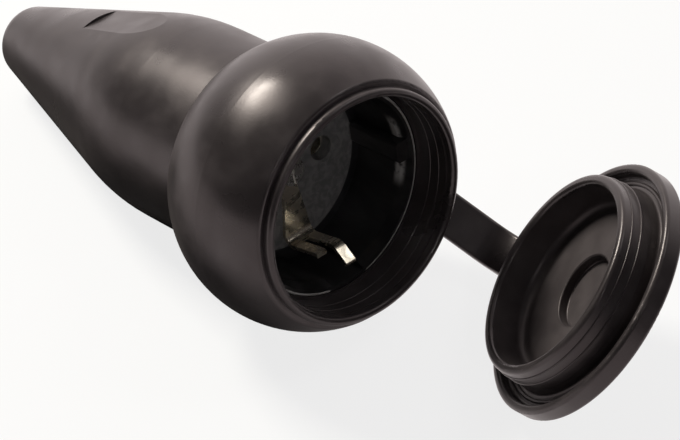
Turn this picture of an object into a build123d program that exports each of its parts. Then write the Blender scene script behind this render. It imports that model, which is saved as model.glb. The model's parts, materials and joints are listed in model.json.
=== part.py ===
from build123d import *
import os
from math import asin, atan2, cos, degrees, hypot, pi, radians, sin, tan

# A rubber cable coupler: an earthed 16 A trailing socket in a soft rubber body, with a tethered sealing cap.
#
# Bench frame: +X runs along the coupler's axis and out of its mouth, whose front face is at X = 0. +Y is the
# side where the cap hangs and +Z is up. Every piece is built there and then laid down as the coupler comes to
# rest on a table: on the bulge of its head, on its tail and on the rim of the open cap.
# Row frame: +X horizontal towards the mouth, +Z up, origin at the bottom centre of the bounding box.

# Driving dimensions, in millimetres and degrees

# Plug side, after the standard 39 mm well with two 4.8 mm pins and side earth clips
WELL_RADIUS = 19.5
WELL_DEPTH = 15.2
WELL_WALL = 2.2
WELL_FLOOR = 3.0
WELL_CHAMFER = 0.9
WELL_CHAMFER_DEPTH = 2.4
INSERT_EDGE = 0.5
PIN_SPACING = 19.0
PIN_HOLE_RADIUS = 2.65
RIB_WIDTH = 4.6
RIB_HEIGHT = 2.4
RIB_SETBACK = 0.6
RIB_EDGE = 0.8
CLIP_RECESS_DEPTH = 1.1
CLIP_RECESS_CLEARANCE = 0.9

# Rubber body
BORE_DEPTH = 7.8
BORE_STEP = 0.7
LIP_BEAD_STEP = 0.25
LIP_BEAD_WIDTH = 1.7
LIP_BEAD_HEIGHT = 1.9
LIP_LEDGE = 1.15
LIP_OUTER_EDGE = 0.9
BULGE_HEIGHT = 4.2
BULGE_FROM_MOUTH = 14.0
SEAT_BACK_WALL = 4.0
SHOULDER_STEP = 2.7
SHOULDER_EDGE = 1.9
SHOULDER_CORNER = 0.6
NECK_WALL = 4.0
NECK_LENGTH = 21.3
TAIL_ARC_RADIUS = 60.0
TAIL_TAPER = 14.84
TIP_WALL = 3.4
TIP_FLAT = 0.2
PANEL_LENGTH = 29.7
PANEL_DEPTH = 0.62
CABLE_RADIUS = 3.8
CAVITY_TAPER = 17.5
REST_FLAT = 0.3

# Sealing cap
CAP_RIM_OVERLAP = 1.1
CAP_RIM_HEIGHT = 4.1
CAP_RIM_EDGE = 0.8
CAP_CROWN = 2.0
CAP_GROOVE_BEAD = 0.45
COLLAR_HEIGHT = 6.2
COLLAR_TAPER = 0.6
COLLAR_WALL = 2.0
COLLAR_EDGE = 0.8
COLLAR_BEAD_RADIUS = 0.2
COLLAR_BEAD_SPACING = 2.0
DISH_DEPTH = 1.6
DISH_DRAFT = 0.6
DISH_ROUND = 2.0
CAP_RECESS_RADIUS = 7.5
CAP_RECESS_DEPTH = 2.0
CAP_RECESS_EDGE = 0.4

# Cap hinge and strap
HINGE_CLOCK = -44.4
HINGE_TILT = -6.4
HINGE_STANDOFF = 14.0
HINGE_SETBACK = 2.6
STRAP_WIDTH = 8.8
STRAP_THICKNESS = 2.6
STRAP_EDGE = 0.7
STRAP_ROOT_CLOCK = -31.0
STRAP_ROOT_SINK = 7.0
STRAP_RIM_CLOCK = 4.0
STRAP_LEAD = 9.0
STRAP_BEND_RADIUS = 11.0

# Contacts and carrier
CONTACT_BORE_RADIUS = 2.45
CONTACT_WALL = 0.95
CONTACT_LENGTH = 15.0
CONTACT_SLIT = 0.8
CONTACT_SLIT_LENGTH = 11.0
CLAMP_RING_THICKNESS = 0.45
CLAMP_RING_WIDTH = 3.0
CLAMP_RING_SETBACK = 2.0
CLAMP_RING_GAP = 1.6
TERMINAL_SIZE = 7.0
TERMINAL_LENGTH = 9.0
WIRE_HOLE_RADIUS = 1.4
WIRE_HOLE_DEPTH = 6.5
WIRE_HOLE_DROP = 1.3
TERMINAL_EDGE = 0.4
CARRIER_RADIUS = 17.2
CARRIER_PLATE = 3.0
TOWER_WALL = 1.6
TONGUE_THICKNESS = 3.0
TONGUE_WIDTH = 14.0
TONGUE_DROP = 5.2
SADDLE_LENGTH = 7.0
SADDLE_WALL = 1.6
SADDLE_SETBACK = 2.5
BRIDGE_THICKNESS = 2.6
BRIDGE_GAP = 1.2

# Earth bow and screws
BOW_WIDTH = 6.5
BOW_WAIST = 2.2
BOW_EYE_RADIUS = 3.5
BOW_THICKNESS = 0.9
BOW_FOOT_RADIUS = 16.6
BOW_BEND = 2.2
BOW_NOSE_RADIUS = 15.0
BOW_FLARE_RADIUS = 17.9
BOW_NOSE_SETBACK = 4.6
BOW_FLARE_SETBACK = 1.2
BOW_SLIT = 1.7
BOW_SLIT_FROM_FLOOR = 1.4
SCREW_RADIUS = 1.5
SCREW_HEAD_RADIUS = 2.6
SCREW_HEAD_HEIGHT = 1.8
SCREW_SLOT_WIDTH = 0.6
SCREW_SLOT_DEPTH = 0.8
SCREW_EDGE = 0.3
CENTRE_SCREW_RADIUS = 1.7
CENTRE_SCREW_HEAD_RADIUS = 3.0
CENTRE_SCREW_GRIP = 3.0

# Search for the angle at which the open cap comes to rest
LEAST_OPENING = 20.0
MOST_OPENING = 110.0
HALVINGS = 50

# Clearances
SEAT_CLEARANCE = 0.1
CAVITY_CLEARANCE = 0.3
CAP_GAP = 0.3
GROOVE_CLEARANCE = 0.35
COLLAR_CLEARANCE = 0.65
STRAP_GAP = 0.2
PRESS_CLEARANCE = 0.05
PIECE_CLEARANCE = 0.1

# Sizes worked out from the driving dimensions

INSERT_RADIUS = WELL_RADIUS + WELL_WALL
SEAT_RADIUS = INSERT_RADIUS + SEAT_CLEARANCE
BORE_RADIUS = SEAT_RADIUS + BORE_STEP
BEAD_INNER_RADIUS = BORE_RADIUS + LIP_BEAD_STEP
BEAD_OUTER_RADIUS = BEAD_INNER_RADIUS + LIP_BEAD_WIDTH
MOUTH_RADIUS = BEAD_OUTER_RADIUS + LIP_LEDGE
BULGE_RADIUS = MOUTH_RADIUS + BULGE_HEIGHT
CAVITY_RADIUS = CARRIER_RADIUS + CAVITY_CLEARANCE
NECK_RADIUS = CAVITY_RADIUS + NECK_WALL
BACK_RADIUS = NECK_RADIUS + SHOULDER_STEP
TIP_RADIUS = CABLE_RADIUS + TIP_WALL

INSERT_FRONT_X = -BORE_DEPTH
FLOOR_X = INSERT_FRONT_X - WELL_DEPTH
INSERT_BACK_X = FLOOR_X - WELL_FLOOR
HEAD_BACK_X = INSERT_BACK_X - SEAT_BACK_WALL
TAPER_START_X = HEAD_BACK_X - NECK_LENGTH
BULGE_X = -BULGE_FROM_MOUTH
ARC_END_X = TAPER_START_X - TAIL_ARC_RADIUS * sin(radians(TAIL_TAPER))
ARC_END_RADIUS = NECK_RADIUS - TAIL_ARC_RADIUS * (1 - cos(radians(TAIL_TAPER)))
TIP_X = ARC_END_X - (ARC_END_RADIUS - TIP_RADIUS) / tan(radians(TAIL_TAPER))
TIP_EDGE = (TIP_WALL - TIP_FLAT) / tan(radians(45 - TAIL_TAPER / 2))
CABLE_BORE_X = TAPER_START_X - (CAVITY_RADIUS - CABLE_RADIUS) / tan(radians(CAVITY_TAPER))
PANEL_BACK_X = TAPER_START_X - PANEL_LENGTH
PANEL_BACK_RADIUS = ARC_END_RADIUS - (ARC_END_X - PANEL_BACK_X) * tan(radians(TAIL_TAPER))

COLLAR_ROOT_RADIUS = BORE_RADIUS - COLLAR_CLEARANCE
COLLAR_LIP_RADIUS = COLLAR_ROOT_RADIUS - COLLAR_TAPER
CAP_RIM_RADIUS = MOUTH_RADIUS + CAP_RIM_OVERLAP

CONTACT_RADIUS = CONTACT_BORE_RADIUS + CONTACT_WALL
TOWER_BORE_RADIUS = CONTACT_RADIUS + PRESS_CLEARANCE
TOWER_RADIUS = TOWER_BORE_RADIUS + TOWER_WALL
TOWER_BACK_X = INSERT_BACK_X - CONTACT_LENGTH
PLATE_BACK_X = INSERT_BACK_X - CARRIER_PLATE
TERMINAL_BACK_X = TOWER_BACK_X - TERMINAL_LENGTH
TERMINAL_SCREW_X = (TOWER_BACK_X + TERMINAL_BACK_X) / 2
EARTH_BACK_X = PLATE_BACK_X - TERMINAL_LENGTH
EARTH_SCREW_X = EARTH_BACK_X + SCREW_HEAD_RADIUS + TERMINAL_EDGE
SADDLE_FRONT_X = TERMINAL_BACK_X - SADDLE_SETBACK
SADDLE_BACK_X = SADDLE_FRONT_X - SADDLE_LENGTH
CLAMP_SCREW_X = (SADDLE_FRONT_X + SADDLE_BACK_X) / 2
CLAMP_SCREW_REACH = BRIDGE_THICKNESS + BRIDGE_GAP + TONGUE_DROP - SADDLE_WALL
SADDLE_SCREW_Y = CABLE_RADIUS + SADDLE_WALL + SCREW_HEAD_RADIUS + PIECE_CLEARANCE
SADDLE_HALF_WIDTH = SADDLE_SCREW_Y + SCREW_HEAD_RADIUS
TONGUE_TOP_Z = -TONGUE_DROP
TONGUE_BOTTOM_Z = TONGUE_TOP_Z - TONGUE_THICKNESS

BOW_FRONT_X = FLOOR_X + BOW_THICKNESS


def bulge_arc_radius(length, drop):
    """Radius of an arc that is level at the bulge and has dropped by a height after a length."""
    return (length ** 2 + drop ** 2) / (2 * drop)


HEAD_FRONT_ARC = bulge_arc_radius(BULGE_FROM_MOUTH, BULGE_HEIGHT)
HEAD_BACK_ARC = bulge_arc_radius(BULGE_X - HEAD_BACK_X, BULGE_RADIUS - BACK_RADIUS)


# Small helpers

def arc_about(centre, start, end):
    """Arc from start to end about a centre, the short way round."""
    first = atan2(start[1] - centre[1], start[0] - centre[0])
    last = atan2(end[1] - centre[1], end[0] - centre[0])
    turn = (last - first + pi) % (2 * pi) - pi
    middle = first + turn / 2
    radius = hypot(start[0] - centre[0], start[1] - centre[1])
    return ThreePointArc(start, (centre[0] + radius * cos(middle), centre[1] + radius * sin(middle)), end)


def rounded(face, corner, radius):
    """The face with the corner nearest to a point rounded off."""
    return fillet(face.vertices().sort_by_distance((corner[0], corner[1], 0))[0], radius)


def turned(face):
    """A solid of revolution about the coupler's axis from a profile of axial place and radius."""
    return revolve(face, Axis.X, 360)


def tube(front, back, radius, y=0.0, z=0.0):
    """A plain cylinder along X from its front to its back."""
    return Pos((front + back) / 2, y, z) * Rot(0, 90, 0) * Cylinder(radius, front - back)


def block(x_range, y_range, z_range):
    """A box from its three ranges."""
    sizes = [high - low for low, high in (x_range, y_range, z_range)]
    middle = [(high + low) / 2 for low, high in (x_range, y_range, z_range)]
    return Pos(*middle) * Box(*sizes)


# Rubber body

def body_outline():
    """The body's outer edge from the mouth to the tip, as curves of axial place and radius."""
    crest = (BULGE_X, BULGE_RADIUS)
    shoulder = (HEAD_BACK_X, BACK_RADIUS)
    taper = (TAPER_START_X, NECK_RADIUS)
    arc_end = (ARC_END_X, ARC_END_RADIUS)
    outline = arc_about((BULGE_X, BULGE_RADIUS - HEAD_FRONT_ARC), (0, MOUTH_RADIUS), crest)
    outline += arc_about((BULGE_X, BULGE_RADIUS - HEAD_BACK_ARC), crest, shoulder)
    outline += Polyline(shoulder, (HEAD_BACK_X, NECK_RADIUS), taper)
    outline += arc_about((TAPER_START_X, NECK_RADIUS - TAIL_ARC_RADIUS), taper, arc_end)
    outline += Line(arc_end, (TIP_X, TIP_RADIUS))
    return outline


def soften_body(face):
    """The rounded edges that every moulded body profile shares."""
    face = rounded(face, (0, MOUTH_RADIUS), LIP_OUTER_EDGE)
    face = rounded(face, (HEAD_BACK_X, BACK_RADIUS), SHOULDER_EDGE)
    face = rounded(face, (HEAD_BACK_X, NECK_RADIUS), SHOULDER_CORNER)
    return rounded(face, (TIP_X, TIP_RADIUS), TIP_EDGE)


def body_envelope():
    """The body with no cavity, to trim what grows out of it."""
    edges = body_outline() + Polyline((TIP_X, TIP_RADIUS), (TIP_X, 0), (0, 0), (0, MOUTH_RADIUS))
    return turned(soften_body(make_face(edges)))


def rubber_body():
    """One soft moulding: bulged head, neck and tapered tail, hollow from its mouth to its cable hole.

    A bead round the mouth seals in the cap's groove, and the tail has a flat panel on top. Its own weight
    flattens the rubber a little where the head and the tail lie on the table.
    """
    cavity = Polyline(
        (TIP_X, TIP_RADIUS),
        (TIP_X, CABLE_RADIUS),
        (CABLE_BORE_X, CABLE_RADIUS),
        (TAPER_START_X, CAVITY_RADIUS),
        (INSERT_BACK_X, CAVITY_RADIUS),
        (INSERT_BACK_X, SEAT_RADIUS),
        (INSERT_FRONT_X, SEAT_RADIUS),
        (INSERT_FRONT_X, BORE_RADIUS),
        (0, BORE_RADIUS),
        (0, MOUTH_RADIUS),
    )
    face = soften_body(make_face(body_outline() + cavity)) + lip_bead()
    return turned(face) - tail_panel() - under_table()


def lip_bead():
    """Profile of the round bead that stands forward of the mouth, a step outside the bore."""
    crest = LIP_BEAD_HEIGHT - LIP_BEAD_WIDTH / 2
    middle = (BEAD_INNER_RADIUS + BEAD_OUTER_RADIUS) / 2
    root = Pos((crest - LIP_OUTER_EDGE) / 2, middle) * Rectangle(crest + LIP_OUTER_EDGE, LIP_BEAD_WIDTH)
    return root + Pos(crest, middle) * Circle(LIP_BEAD_WIDTH / 2)


def tail_panel():
    """The space above the flat panel, which runs out by itself where the tail curves into the neck."""
    slope = radians(TAIL_TAPER)
    along = Vector(cos(slope), 0, sin(slope))
    outward = Vector(-sin(slope), 0, cos(slope))
    corner = Vector(PANEL_BACK_X, 0, PANEL_BACK_RADIUS) - outward * PANEL_DEPTH
    plane = Plane(origin=corner, x_dir=along, z_dir=outward)
    return plane * Pos(PANEL_LENGTH / 2, 0, NECK_RADIUS / 2) * Box(PANEL_LENGTH, NECK_RADIUS, NECK_RADIUS)


# Sealing cap

def closed_cap():
    """The cap as it sits on the mouth: rolled rim, groove for the lip's bead, tapered collar and a dish.

    The dish has a round recess in its middle.
    """
    back_x = CAP_GAP + CAP_RIM_HEIGHT
    groove_x = LIP_BEAD_HEIGHT + GROOVE_CLEARANCE + CAP_GROOVE_BEAD
    groove_radius = BEAD_OUTER_RADIUS + GROOVE_CLEARANCE
    groove_middle = (COLLAR_ROOT_RADIUS + groove_radius) / 2
    lip_x = CAP_GAP - COLLAR_HEIGHT
    lip_inner = COLLAR_LIP_RADIUS - COLLAR_WALL
    dish_x = CAP_GAP + DISH_DEPTH
    dish_radius = lip_inner - DISH_DRAFT
    recess_x = dish_x + CAP_RECESS_DEPTH
    crown_arc = bulge_arc_radius(CAP_RIM_RADIUS, CAP_CROWN)
    crown = arc_about((back_x + CAP_CROWN - crown_arc, 0), (back_x + CAP_CROWN, 0), (back_x, CAP_RIM_RADIUS))
    edges = crown + Polyline(
        (back_x, CAP_RIM_RADIUS),
        (CAP_GAP, CAP_RIM_RADIUS),
        (CAP_GAP, groove_radius),
        (groove_x, groove_radius),
        (groove_x, COLLAR_ROOT_RADIUS),
        (CAP_GAP, COLLAR_ROOT_RADIUS),
        (lip_x, COLLAR_LIP_RADIUS),
        (lip_x, lip_inner),
        (dish_x, dish_radius),
        (dish_x, CAP_RECESS_RADIUS),
        (recess_x, CAP_RECESS_RADIUS),
        (recess_x, 0),
        (back_x + CAP_CROWN, 0),
    )
    face = make_face(edges)
    face += Pos(groove_x, groove_middle) * Circle(CAP_GROOVE_BEAD)
    groove_round = (groove_radius - groove_middle) / 2
    for corner, radius in (
        ((back_x, CAP_RIM_RADIUS), CAP_RIM_EDGE),
        ((CAP_GAP, CAP_RIM_RADIUS), CAP_RIM_EDGE),
        ((CAP_GAP, groove_radius), CAP_RIM_EDGE),
        ((groove_x, groove_radius), groove_round),
        ((groove_x, COLLAR_ROOT_RADIUS), groove_round),
        ((lip_x, COLLAR_LIP_RADIUS), COLLAR_EDGE),
        ((lip_x, lip_inner), COLLAR_EDGE),
        ((dish_x, dish_radius), DISH_ROUND),
        ((dish_x, CAP_RECESS_RADIUS), CAP_RECESS_EDGE),
        ((recess_x, CAP_RECESS_RADIUS), CAP_RECESS_EDGE),
    ):
        face = rounded(face, corner, radius)
    slope = COLLAR_TAPER / COLLAR_HEIGHT
    for place in (1, 2):
        along = place * COLLAR_BEAD_SPACING
        face += Pos(CAP_GAP - along, COLLAR_ROOT_RADIUS - slope * along) * Circle(COLLAR_BEAD_RADIUS)
    return turned(face)


def hinge_axis():
    """The line about which the strap lets the cap swing, pointing so that a positive turn opens the cap."""
    clock = radians(HINGE_CLOCK)
    tilt = radians(HINGE_TILT)
    reach = CAP_RIM_RADIUS + HINGE_STANDOFF
    pivot = Vector(-HINGE_SETBACK, reach * cos(clock), reach * sin(clock))
    along = Vector(sin(tilt), -sin(clock) * cos(tilt), cos(clock) * cos(tilt))
    return Axis(pivot, along)


def swung(vector, angle):
    """A direction turned about the hinge axis."""
    return vector.rotate(Axis((0, 0, 0), hinge_axis().direction), angle)


def swung_point(point, angle):
    """A point turned about the hinge axis."""
    pivot = hinge_axis().position
    return swung(point - pivot, angle) + pivot


# How the coupler lies at rest

def rest_pitch():
    """Pitch, in degrees, at which the head's bulge and the tail both touch the table."""
    along = BULGE_X - TAPER_START_X
    across = (BULGE_RADIUS - HEAD_BACK_ARC) - (NECK_RADIUS - TAIL_ARC_RADIUS)
    difference = HEAD_BACK_ARC - TAIL_ARC_RADIUS
    return degrees(atan2(across, along) + asin(difference / hypot(along, across)))


PITCH = rest_pitch()
UP = Vector(sin(radians(PITCH)), 0, cos(radians(PITCH)))
LOWEST_CREST = BULGE_X * UP.X - (BULGE_RADIUS - HEAD_BACK_ARC) * UP.Z - HEAD_BACK_ARC
TABLE_HEIGHT = LOWEST_CREST + REST_FLAT


def under_table():
    """The space under the table's surface."""
    size = 2 * (BULGE_RADIUS - TIP_X)
    return Plane(origin=UP * TABLE_HEIGHT, z_dir=UP) * Pos(0, 0, -size / 2) * Box(size, size, size)


def rim_height(angle):
    """Height above the table of the rim's lowest point when the cap is open by an angle."""
    facing = swung(Vector(1, 0, 0), angle)
    spread = (CAP_RIM_RADIUS - CAP_RIM_EDGE) * (1 - facing.dot(UP) ** 2) ** 0.5
    lowest = []
    for place in (CAP_GAP + CAP_RIM_EDGE, CAP_GAP + CAP_RIM_HEIGHT - CAP_RIM_EDGE):
        middle = swung_point(Vector(place, 0, 0), angle)
        lowest.append(middle.dot(UP) - spread - CAP_RIM_EDGE)
    return min(lowest) - TABLE_HEIGHT


def rest_opening():
    """Angle, in degrees, at which the open cap's rim comes down onto the table."""
    least, most = LEAST_OPENING, MOST_OPENING
    for _ in range(HALVINGS):
        middle = (least + most) / 2
        if rim_height(middle) > 0:
            least = middle
        else:
            most = middle
    return least


OPENING = rest_opening()


def sealing_cap():
    """The cap where it comes to rest, hanging open with its rim on the table."""
    return closed_cap().rotate(hinge_axis(), OPENING)


def cap_strap():
    """The flat rubber strap from the head's far side to the cap's rim, in one bend."""
    axis = hinge_axis().direction
    facing = swung(Vector(-1, 0, 0), OPENING)
    rim_middle = swung_point(Vector(CAP_GAP + CAP_RIM_HEIGHT / 2, 0, 0), OPENING)
    inward = axis.cross(facing).normalized()
    clock = radians(STRAP_RIM_CLOCK)
    outward = axis * sin(clock) - inward * cos(clock)
    rim_point = rim_middle + outward * CAP_RIM_RADIUS
    corner = rim_point + outward * STRAP_LEAD
    root_clock = radians(STRAP_ROOT_CLOCK)
    root = Vector(BULGE_X, BULGE_RADIUS * cos(root_clock), BULGE_RADIUS * sin(root_clock))
    run = (corner - root).normalized()
    start = root - run * STRAP_ROOT_SINK
    width_direction = run.cross(outward * -1).normalized()
    plane = Plane(origin=start, x_dir=run, z_dir=width_direction)
    turn = radians(run.get_angle(outward * -1))
    first = (corner - start).length
    tangent = STRAP_BEND_RADIUS * tan(turn / 2)
    lead = STRAP_LEAD + STRAP_THICKNESS
    half = STRAP_THICKNESS / 2
    centre = (first - tangent, STRAP_BEND_RADIUS)
    heading = (cos(turn), sin(turn))
    sides = []
    for offset in (-half, half):
        radius = STRAP_BEND_RADIUS - offset
        arc_start = (centre[0], offset)
        arc_end = (centre[0] + radius * sin(turn), centre[1] - radius * cos(turn))
        rest = lead - tangent
        end = (arc_end[0] + rest * heading[0], arc_end[1] + rest * heading[1])
        sides.append((arc_start, arc_end, end))
    (low_start, low_end, low_tip), (high_start, high_end, high_tip) = sides
    edges = Line((0, -half), low_start) + arc_about(centre, low_start, low_end) + Line(low_end, low_tip)
    edges += Line(low_tip, high_tip) + Line(high_tip, high_end) + arc_about(centre, high_end, high_start)
    edges += Polyline(high_start, (0, half), (0, -half))
    strip = extrude(plane * make_face(edges), STRAP_WIDTH / 2, both=True)
    across = strip.faces().sort_by(Axis(start, width_direction))
    strip = fillet(across[0].edges() + across[-1].edges(), STRAP_EDGE)
    reach = CAP_RIM_HEIGHT + STRAP_LEAD
    cap_room = tube(CAP_GAP + reach, CAP_GAP - reach, CAP_RIM_RADIUS + STRAP_GAP)
    return strip - body_envelope() - cap_room.rotate(hinge_axis(), OPENING)


# Socket insert

def socket_insert():
    """The plug well: a cup with a chamfered mouth, two guide ribs, pin holes and room for the earth clips."""
    chamfer_x = INSERT_FRONT_X - WELL_CHAMFER_DEPTH
    profile = Polyline(
        (INSERT_BACK_X, 0),
        (INSERT_BACK_X, INSERT_RADIUS),
        (INSERT_FRONT_X, INSERT_RADIUS),
        (INSERT_FRONT_X, WELL_RADIUS + WELL_CHAMFER),
        (chamfer_x, WELL_RADIUS),
        (FLOOR_X, WELL_RADIUS),
        (FLOOR_X, 0),
        close=True,
    )
    cup = turned(rounded(make_face(profile), (INSERT_FRONT_X, INSERT_RADIUS), INSERT_EDGE))
    recess_half = BOW_WIDTH / 2 + CLIP_RECESS_CLEARANCE
    recess_radius = WELL_RADIUS + CLIP_RECESS_DEPTH
    slots = block((FLOOR_X, INSERT_FRONT_X), (-recess_half, recess_half), (-recess_radius, recess_radius))
    cup -= slots & tube(INSERT_FRONT_X, FLOOR_X, recess_radius)
    rib_front = INSERT_FRONT_X - RIB_SETBACK
    for side in (-1, 1):
        near, far = sorted((side * (WELL_RADIUS - RIB_HEIGHT), side * (WELL_RADIUS + WELL_WALL / 2)))
        rib = block((FLOOR_X, rib_front), (near, far), (-RIB_WIDTH / 2, RIB_WIDTH / 2))
        crest = rib.faces().sort_by(Axis.Y)[0 if side > 0 else -1]
        rib = fillet(crest.edges().filter_by(Axis.X), RIB_EDGE)
        cup += rib
        cup -= tube(FLOOR_X, INSERT_BACK_X, PIN_HOLE_RADIUS, y=side * PIN_SPACING / 2)
    return cup - tube(FLOOR_X, INSERT_BACK_X, CENTRE_SCREW_RADIUS + PIECE_CLEARANCE)


# Contacts

def contact(side):
    """A split brass sleeve for one plug pin, with its wire terminal block behind."""
    y = side * PIN_SPACING / 2
    half = TERMINAL_SIZE / 2
    sleeve = tube(INSERT_BACK_X, TOWER_BACK_X, CONTACT_RADIUS, y=y)
    terminal = block((TERMINAL_BACK_X, TOWER_BACK_X), (y - half, y + half), (-half, half))
    terminal = fillet(terminal.edges().filter_by(Axis.X), TERMINAL_EDGE)
    sleeve += terminal
    sleeve -= tube(INSERT_BACK_X, TOWER_BACK_X, CONTACT_BORE_RADIUS, y=y)
    slit_x = (INSERT_BACK_X - CONTACT_SLIT_LENGTH, INSERT_BACK_X)
    slit_half = CONTACT_SLIT / 2
    sleeve -= block(slit_x, (y - slit_half, y + slit_half), (-CONTACT_RADIUS, CONTACT_RADIUS))
    sleeve -= ring_around(y, CONTACT_RADIUS + PIECE_CLEARANCE, CONTACT_RADIUS - CLAMP_RING_THICKNESS)
    wire_x = TERMINAL_BACK_X + WIRE_HOLE_DEPTH
    sleeve -= tube(wire_x, TERMINAL_BACK_X, WIRE_HOLE_RADIUS, y=y, z=-WIRE_HOLE_DROP)
    return sleeve - screw_hole(TERMINAL_SCREW_X, y, half, half)


def ring_around(y, outer, inner):
    """The ring of space around a contact sleeve where its clamp ring sits."""
    front = INSERT_BACK_X - CLAMP_RING_SETBACK
    back = front - CLAMP_RING_WIDTH
    return tube(front, back, outer, y=y) - tube(front, back, inner, y=y)


def clamp_ring(side):
    """The open spring ring that closes a contact sleeve on its pin."""
    y = side * PIN_SPACING / 2
    ring = ring_around(y, CONTACT_RADIUS, CONTACT_RADIUS - CLAMP_RING_THICKNESS)
    front = INSERT_BACK_X - CLAMP_RING_SETBACK
    gap_half = CLAMP_RING_GAP / 2
    gap = block((front - CLAMP_RING_WIDTH, front), (y - gap_half, y + gap_half), (0, CONTACT_RADIUS))
    return ring - gap


def earth_bow():
    """The U-shaped earth strip: an eye on the well floor and a spring clip up each side.

    Each clip is split into a long finger, flared at its end to let the plug in, and a short one.
    """
    floor_middle_x = FLOOR_X + BOW_THICKNESS / 2
    middle_line = FilletPolyline(
        (floor_middle_x, 0),
        (floor_middle_x, BOW_FOOT_RADIUS),
        (INSERT_FRONT_X - BOW_NOSE_SETBACK, BOW_NOSE_RADIUS),
        (INSERT_FRONT_X - BOW_FLARE_SETBACK, BOW_FLARE_RADIUS),
        radius=BOW_BEND,
    )
    face = make_face(offset(middle_line, BOW_THICKNESS / 2, side=Side.BOTH))
    half_width = BOW_WIDTH / 2
    side_plane = Plane(origin=(0, 0, 0), x_dir=(1, 0, 0), z_dir=(0, -1, 0))
    half_bow = extrude(side_plane * face, half_width, both=True)
    half_bow &= bow_blank()
    slit_half = BOW_SLIT / 2
    slit_back = BOW_FRONT_X + BOW_SLIT_FROM_FLOOR
    nose_x = INSERT_FRONT_X - BOW_NOSE_SETBACK
    half_bow -= block((slit_back, INSERT_FRONT_X), (-slit_half, slit_half), (0, SEAT_RADIUS))
    half_bow -= block((nose_x, INSERT_FRONT_X), (-half_width, -slit_half), (0, SEAT_RADIUS))
    bow = half_bow + half_bow.mirror(Plane.XY)
    return bow - tube(BOW_FRONT_X, FLOOR_X, CENTRE_SCREW_RADIUS + PIECE_CLEARANCE)


def bow_blank():
    """Half of the earth strip's outline, seen from the mouth: an eye, a waist and a broad clip."""
    half_width = BOW_WIDTH / 2
    waist = BOW_WAIST / 2
    foot = BOW_FOOT_RADIUS - BOW_BEND
    arm = Polyline(
        (-waist, 0),
        (waist, 0),
        (half_width, foot),
        (half_width, SEAT_RADIUS),
        (-half_width, SEAT_RADIUS),
        (-half_width, foot),
        close=True,
    )
    well_floor = Plane(origin=(FLOOR_X, 0, 0), x_dir=(0, 1, 0), z_dir=(1, 0, 0))
    return extrude(well_floor * (make_face(arm) + Circle(BOW_EYE_RADIUS)), WELL_DEPTH)


def earth_terminal():
    """The brass block behind the carrier plate that the centre screw pulls against, with its wire hole."""
    half = TERMINAL_SIZE / 2
    grip_x = PLATE_BACK_X - CENTRE_SCREW_GRIP
    terminal = block((EARTH_BACK_X, PLATE_BACK_X), (-half, half), (-half, half))
    terminal = fillet(terminal.edges().filter_by(Axis.X), TERMINAL_EDGE)
    terminal -= tube(PLATE_BACK_X, grip_x, CENTRE_SCREW_RADIUS + PRESS_CLEARANCE)
    terminal -= tube(grip_x, EARTH_BACK_X, WIRE_HOLE_RADIUS, z=-WIRE_HOLE_DROP)
    return terminal - screw_hole(EARTH_SCREW_X, 0, half, half)


# Screws

def cheese_head_screw(reach, radius, head_radius):
    """A slotted screw standing on Z = 0: its head above, its shank below."""
    head = Pos(0, 0, SCREW_HEAD_HEIGHT / 2) * Cylinder(head_radius, SCREW_HEAD_HEIGHT)
    head = fillet(head.edges().sort_by(Axis.Z)[-1], SCREW_EDGE)
    slot = Pos(0, 0, SCREW_HEAD_HEIGHT - SCREW_SLOT_DEPTH / 2) * Box(
        2 * head_radius, SCREW_SLOT_WIDTH, SCREW_SLOT_DEPTH
    )
    shank = Pos(0, 0, -reach / 2) * Cylinder(radius, reach)
    return head + shank - slot


def screw_hole(x, y, top, depth):
    """The hole of an upright terminal screw."""
    return Pos(x, y, top - depth / 2) * Cylinder(SCREW_RADIUS + PRESS_CLEARANCE, depth)


def terminal_screw(x, y):
    """An upright wire screw in a terminal block."""
    half = TERMINAL_SIZE / 2
    return Pos(x, y, half) * cheese_head_screw(half, SCREW_RADIUS, SCREW_HEAD_RADIUS)


def centre_screw():
    """The screw on the well floor that holds the bow, insert and carrier to the earth terminal."""
    reach = BOW_FRONT_X - PLATE_BACK_X + CENTRE_SCREW_GRIP
    screw = cheese_head_screw(reach, CENTRE_SCREW_RADIUS, CENTRE_SCREW_HEAD_RADIUS)
    return Pos(BOW_FRONT_X, 0, 0) * Rot(0, 90, 0) * screw


# Carrier and cord clamp

def contact_carrier():
    """The moulded base behind the well: plate, contact towers and a tongue with the cable saddle."""
    carrier = tube(INSERT_BACK_X, PLATE_BACK_X, CARRIER_RADIUS)
    tongue_half = TONGUE_WIDTH / 2
    tongue = block(
        (SADDLE_BACK_X, PLATE_BACK_X), (-tongue_half, tongue_half), (TONGUE_BOTTOM_Z, TONGUE_TOP_Z)
    )
    saddle = block(
        (SADDLE_BACK_X, SADDLE_FRONT_X),
        (-SADDLE_HALF_WIDTH, SADDLE_HALF_WIDTH),
        (TONGUE_BOTTOM_Z, -BRIDGE_GAP / 2),
    )
    saddle = fillet(saddle.edges().filter_by(Axis.X).group_by(Axis.Z)[0], SADDLE_WALL)
    carrier += tongue + saddle
    for side in (-1, 1):
        y = side * PIN_SPACING / 2
        carrier += tube(INSERT_BACK_X, TOWER_BACK_X, TOWER_RADIUS, y=y)
        carrier -= tube(INSERT_BACK_X, TOWER_BACK_X, TOWER_BORE_RADIUS, y=y)
        carrier -= clamp_screw_hole(side, -BRIDGE_GAP / 2, CLAMP_SCREW_REACH - BRIDGE_THICKNESS - BRIDGE_GAP)
    carrier -= tube(SADDLE_FRONT_X, SADDLE_BACK_X, CABLE_RADIUS)
    return carrier - tube(INSERT_BACK_X, PLATE_BACK_X, CENTRE_SCREW_RADIUS + PIECE_CLEARANCE)


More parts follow.
